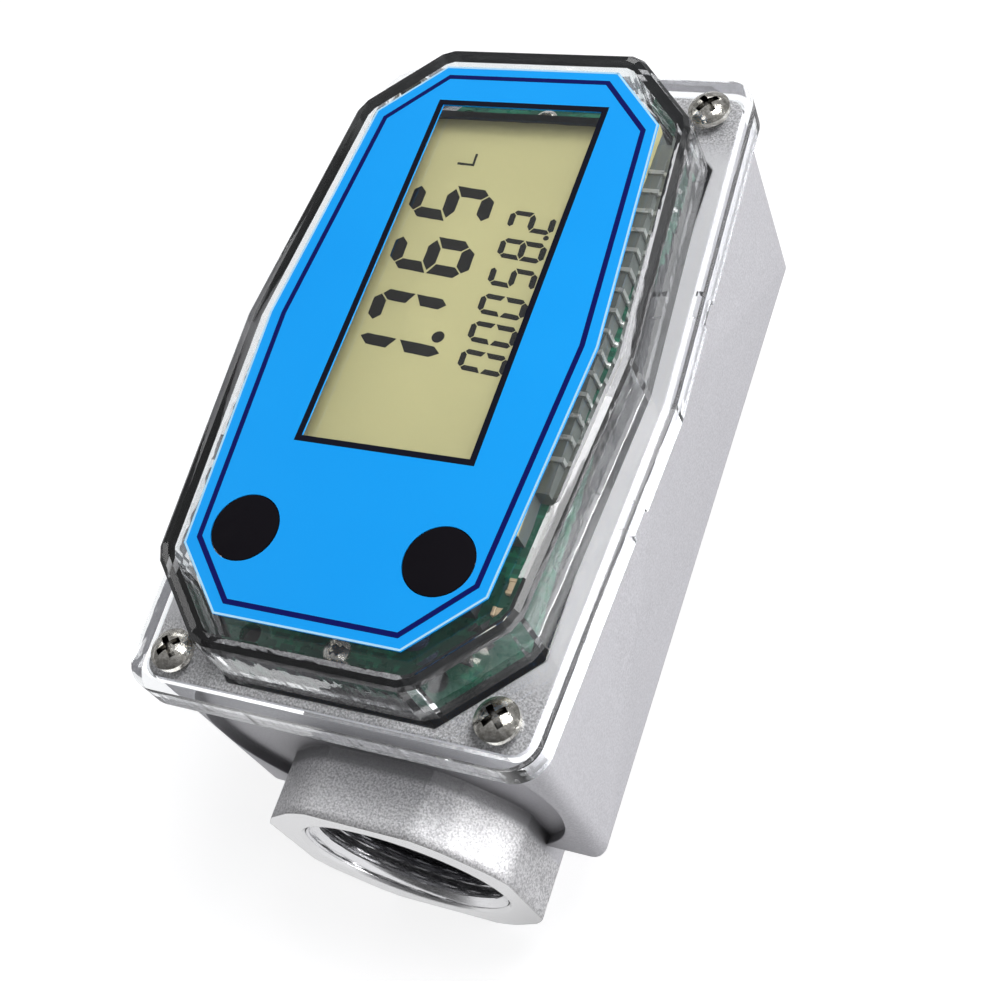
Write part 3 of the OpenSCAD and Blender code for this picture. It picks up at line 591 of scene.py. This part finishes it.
# Slope is how far a row of figures drifts across the glass, and lean how far their tops slant
LARGE = {"width": 6.76, "bar": 2.2, "gap": 0.13, "slope": -0.03, "lean": 0.094}
SMALL = {"width": 3.6, "bar": 1.0, "gap": 0.08, "slope": -0.035, "lean": 0.09}
LARGE_DIGITS = (("5", -7.27, 25.63, 14.3), ("6", -6.93, 15.89, 13.95), ("7", -6.69, 5.26, 13.6))
SMALL_DIGITS = (("2", 7.2, 23.2), ("8", 7.35, 18.05), ("5", 7.55, 13.05),
                ("0", 7.7, 7.95), ("0", 7.85, 3.1), ("0", 8.0, -1.8))
SMALL_HEIGHT = 7.8
ONE_BARS = ([(1.35, 13.8), (2.0, 12.7), (2.0, 7.7), (0.1, 9.0), (0.1, 12.5)],
            [(2.0, 7.1), (0.1, 5.7), (0.1, 1.6), (1.05, 0.0), (2.0, 1.2)])
ONE_PLACE, ONE_SIZE = (-6.22, -0.45), (2.1, 13.8)
UNIT_LETTER = [(0, 0), (2.4, 0), (2.4, 0.42), (0.42, 0.42), (0.42, 3.0), (0, 3.0)]
UNIT_PLACE, UNIT_SIZE = (-7.5, 34.2), (2.4, 3.0)


def segment(letter, width, height, bar, gap):
    """One bar of a seven-bar figure, with mitred ends and cut outer corners."""
    side = 0.86 * bar
    mitre = 1.4 * gap
    middle, under_top = height / 2, height - bar
    if letter == "f":
        return [(side / 2, height - bar / 2 - mitre), (0, under_top), (0, middle + gap),
                (side, middle + bar / 2 + 1.6 * gap), (side, under_top - mitre)]
    if letter in MIRRORED:
        source, flip_x, flip_y = MIRRORED[letter]
        return [(width - x if flip_x else x, height - y if flip_y else y)
                for x, y in segment(source, width, height, bar, gap)]
    if letter == "a":
        left = [(side + mitre, under_top), (side / 2 + gap, height - bar / 2), (side, height)]
    else:
        left = [(side + gap, middle - bar / 2), (side / 4 + gap, middle), (side + gap, middle + bar / 2)]
    return left + [(width - x, y) for x, y in reversed(left)]


def figure(bm, points, centre, size, slope, lean):
    """Lays an outline on the glass: it reads along the flow, with its top to the left."""
    placed = []
    for across, up in points:
        right = across - size[0] / 2
        above = up - size[1] / 2
        placed.append((centre[0] + slope * right - above, centre[1] + right + lean * above))
    slab(bm, placed, FIGURE_Z, FIGURE_T)


def digit(bm, character, centre, height, width, bar, gap, slope, lean):
    for letter in SEGMENTS[character]:
        figure(bm, segment(letter, width, height, bar, gap), centre, (width, height), slope, lean)


def figures():
    """The display's large and small numbers with their points, and the unit letter."""
    bm = bmesh.new()
    for character, x, y, height in LARGE_DIGITS:
        digit(bm, character, (x, y), height, **LARGE)
    for bar in ONE_BARS:
        figure(bm, bar, ONE_PLACE, ONE_SIZE, LARGE["slope"], LARGE["lean"])
    for character, x, y in SMALL_DIGITS:
        digit(bm, character, (x, y), SMALL_HEIGHT, **SMALL)
    for x, y, radius in DOTS:
        slab(bm, circle(x, y, radius, DOT_POINTS), FIGURE_Z, FIGURE_T)
    figure(bm, UNIT_LETTER, UNIT_PLACE, UNIT_SIZE, slope=-0.05, lean=0.075)
    finish_piece("display_figures", solid_mesh("display_figures", bm), DIGIT)


figures()


# Small parts on the board, in millimetres: each has its place and its turn in degrees
CHIPS = [(21.5, -37.0, 90), (19.4, -40.4, 60), (22.0, -33.0, 0), (17.6, -43.4, 90), (-20.5, -38.0, 0),
         (-10.0, 45.5, 90), (-5.6, 44.6, 0), (-1.0, 45.8, 90), (9.4, 45.0, 0), (12.4, 46.0, 90),
         (-21.0, 38.5, 30), (19.8, 39.4, 120)]
CHIP_WIDTH, CHIP_LENGTH = (1.3, 1.6), (2.4, 2.8)
CHIP_HEIGHT = 0.9
CHIP_CAP = 0.22
CHIP_WAIST = 0.08
CHIP_EDGE = 0.12


def chip(bm, x, y, width, length, turn):
    """A small board part: a body with a narrow waist between two end caps."""
    turned = Matrix.Rotation(math.radians(turn), 2)
    end = length / 2
    waist = end - CHIP_CAP * length
    for start, stop, shrink in ((-end, -waist, 0), (waist, end, 0), (-waist, waist, CHIP_WAIST)):
        side = width / 2 - shrink
        corners = [(-side, start), (side, start), (side, stop), (-side, stop)]
        placed = [Vector((x, y)) + turned @ Vector(corner) for corner in corners]
        slab(bm, placed, BOARD_TOP, CHIP_HEIGHT - shrink)


def board_parts(name, material, places):
    bm = bmesh.new()
    for x, y, turn in places:
        chip(bm, x, y, random.uniform(*CHIP_WIDTH), random.uniform(*CHIP_LENGTH), turn)
    bevel = finish_piece(name, solid_mesh(name, bm), material).modifiers.new("soft", "BEVEL")
    bevel.width = CHIP_EDGE * MM
    bevel.segments = 2


random.seed(7)
board_parts("chip_capacitors", CERAMIC, CHIPS[0::2])
board_parts("chip_resistors", MATERIALS["controller_chip"], CHIPS[1::2])

PINS = 15
PIN_HALF_X, PIN_HALF_Y = 0.45, 0.35
SOLDER_RINGS = ((0.56, 0.0), (0.5, 0.2), (0.36, 0.5), (0.16, 0.62))
SOLDER_POINTS = 16


def solder_joints():
    """A small cone of solder round each pin's foot."""
    low, high = box_mm("display_pins")
    start, end = low[1] + PIN_HALF_Y, high[1] - PIN_HALF_Y
    bm = bmesh.new()
    for x in (low[0] + PIN_HALF_X, high[0] - PIN_HALF_X):
        for pin in range(PINS):
            y = start + (end - start) * pin / (PINS - 1)
            rings = [ring_at(bm, circle(x, y, radius, SOLDER_POINTS), BOARD_TOP + rise)
                     for radius, rise in SOLDER_RINGS]
            for lower, upper in zip(rings, rings[1:]):
                join_rings(bm, lower, upper)
            bm.faces.new(rings[-1])
    finish_piece("solder_joints", solid_mesh("solder_joints", bm), SOLDER, smooth=180)


solder_joints()


# Edges of the solids
soften("meter_body", 0.35, 3, harden=False)
level_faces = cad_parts["meter_body"].modifiers.new("level_faces", "WEIGHTED_NORMAL")
level_faces.keep_sharp = True
level_faces.weight = 100
soften("clear_cover", 0.3, 3, angle=20)
soften("face_label", 0.06, 1)
soften("display_frame", 0.08, 1)
soften("cover_screws", 0.1, 2)
for node in ("calibrate_button", "display_button", "turbine_rotor", "front_support", "rear_support"):
    soften(node, 0.15, 2)
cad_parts["clear_cover"].visible_shadow = False


# Floor, lights and camera, in metres
FLOOR_Z = -0.0002
FLOOR_HALF = 4.0
CARD_X, CARD_Y = -0.02, -0.09
CARD_R, CARD_FADE_R = 0.035, 0.055
LIGHT_AIM = Vector((0, 0, 0.04))

# Grey levels of the sky by height, from the horizon at 0 to overhead at 1
SKY = ((0.02, 0.8), (0.12, 0.20), (0.45, 0.28), (0.8, 0.33))


def floor_white():
    """Floor that glows to the camera and through the cover, and as a card before the inlet port."""
    look = Material("floor_white")
    look.shade(Base_Color=look.mix(look.noise(6, detail=2), (0.33, 0.33, 0.34, 1), (0.36, 0.36, 0.365, 1)),
               Roughness=0.8)
    ray = look.add("ShaderNodeLightPath").outputs
    seen = look.math("MAXIMUM", ray["Is Camera Ray"], ray["Is Transmission Ray"])
    x, y, _ = look.split(look.place)
    from_card = look.distance(look.minus(x, CARD_X), look.minus(y, CARD_Y))
    card = look.times(ray["Is Glossy Ray"], look.remap(from_card, CARD_R, CARD_FADE_R, 1.0, 0.0))
    strength = look.plus(look.times(seen, 0.78), look.times(card, 0.62))
    glow = look.add("ShaderNodeEmission", {"Color": (1, 1, 1, 1), "Strength": strength})
    both = look.add("ShaderNodeAddShader", {0: look.shader.outputs[0], 1: glow.outputs[0]})
    look.feed(look.tree.nodes["Material Output"].inputs["Surface"], both.outputs[0])
    return look.material


def stage_floor():
    bm = bmesh.new()
    bmesh.ops.create_grid(bm, x_segments=2, y_segments=2, size=FLOOR_HALF)
    mesh = new_mesh("floor", bm)
    mesh.materials.append(floor_white())
    floor = bpy.data.objects.new("floor", mesh)
    floor.location.z = FLOOR_Z
    bpy.context.scene.collection.objects.link(floor)


def area_light(name, direction, distance, size, energy):
    """A flat light at a distance from the meter's middle, turned toward it."""
    data = bpy.data.lights.new(name, "AREA")
    data.shape = "RECTANGLE"
    data.size, data.size_y = size
    data.energy = energy
    light = bpy.data.objects.new(name, data)
    bpy.context.scene.collection.objects.link(light)
    light.location = LIGHT_AIM + Vector(direction).normalized() * distance
    light.rotation_euler = (light.location - LIGHT_AIM).to_track_quat("Z", "Y").to_euler()


def world_light():
    """Studio light, dimmer on the near side, that the camera itself sees as a pale backdrop."""
    world = bpy.data.worlds.new("studio")
    bpy.context.scene.world = world
    world.use_nodes = True
    sky = Nodes(world.node_tree)
    _, along, up = sky.split(sky.direction)
    ramp = sky.add("ShaderNodeValToRGB", {0: up})
    below, above = ramp.color_ramp.elements
    below.position, above.position = 0.0, 1.0
    below.color = (0.85, 0.85, 0.86, 1)
    above.color = (0.45, 0.455, 0.47, 1)
    for position, level in SKY:
        ramp.color_ramp.elements.new(position).color = (level, level, level * 1.02, 1)
    camera_ray = sky.add("ShaderNodeLightPath").outputs["Is Camera Ray"]
    background = sky.tree.nodes["Background"].inputs
    sky.feed(background["Color"], sky.mix(camera_ray, ramp.outputs[0], (0.93, 0.93, 0.94, 1)))
    sky.feed(background["Strength"], sky.blend(camera_ray, sky.remap(along, -0.9, -0.1, 0.3, 0.9), 1.0))


stage_floor()
world_light()
area_light("overhead_box", (0.34, 0.26, 0.90), distance=0.75, size=(0.28, 0.28), energy=2.9)
area_light("right_box", (1.0, 0.02, 0.2), distance=0.8, size=(0.6, 0.5), energy=5.2)
area_light("left_box", (-0.9, 0.1, 0.7), distance=0.9, size=(0.4, 0.4), energy=0.9)
area_light("far_strip", (-0.3, 1.0, 0.5), distance=0.9, size=(0.8, 0.12), energy=0.8)

# The photo's camera
CAMERA_PLACE = Vector((0.1138, -0.11327, 0.25796))
CAMERA_FORWARD = Vector((-0.42202, 0.3965, -0.81528)).normalized()
CAMERA_RIGHT = Vector((0.89609, 0.3189, -0.30875))
CAMERA_LENS = 62.234


def photo_camera():
    data = bpy.data.cameras.new("camera")
    data.sensor_width = 36.0
    data.lens = CAMERA_LENS
    data.clip_start = 0.01
    camera = bpy.data.objects.new("camera", data)
    bpy.context.scene.collection.objects.link(camera)
    right = (CAMERA_RIGHT - CAMERA_FORWARD * CAMERA_RIGHT.dot(CAMERA_FORWARD)).normalized()
    turned = Matrix((right, right.cross(CAMERA_FORWARD), -CAMERA_FORWARD)).transposed()
    camera.matrix_world = Matrix.Translation(CAMERA_PLACE) @ turned.to_4x4()
    bpy.context.scene.camera = camera


photo_camera()
bpy.context.scene.view_settings.view_transform = "Standard"
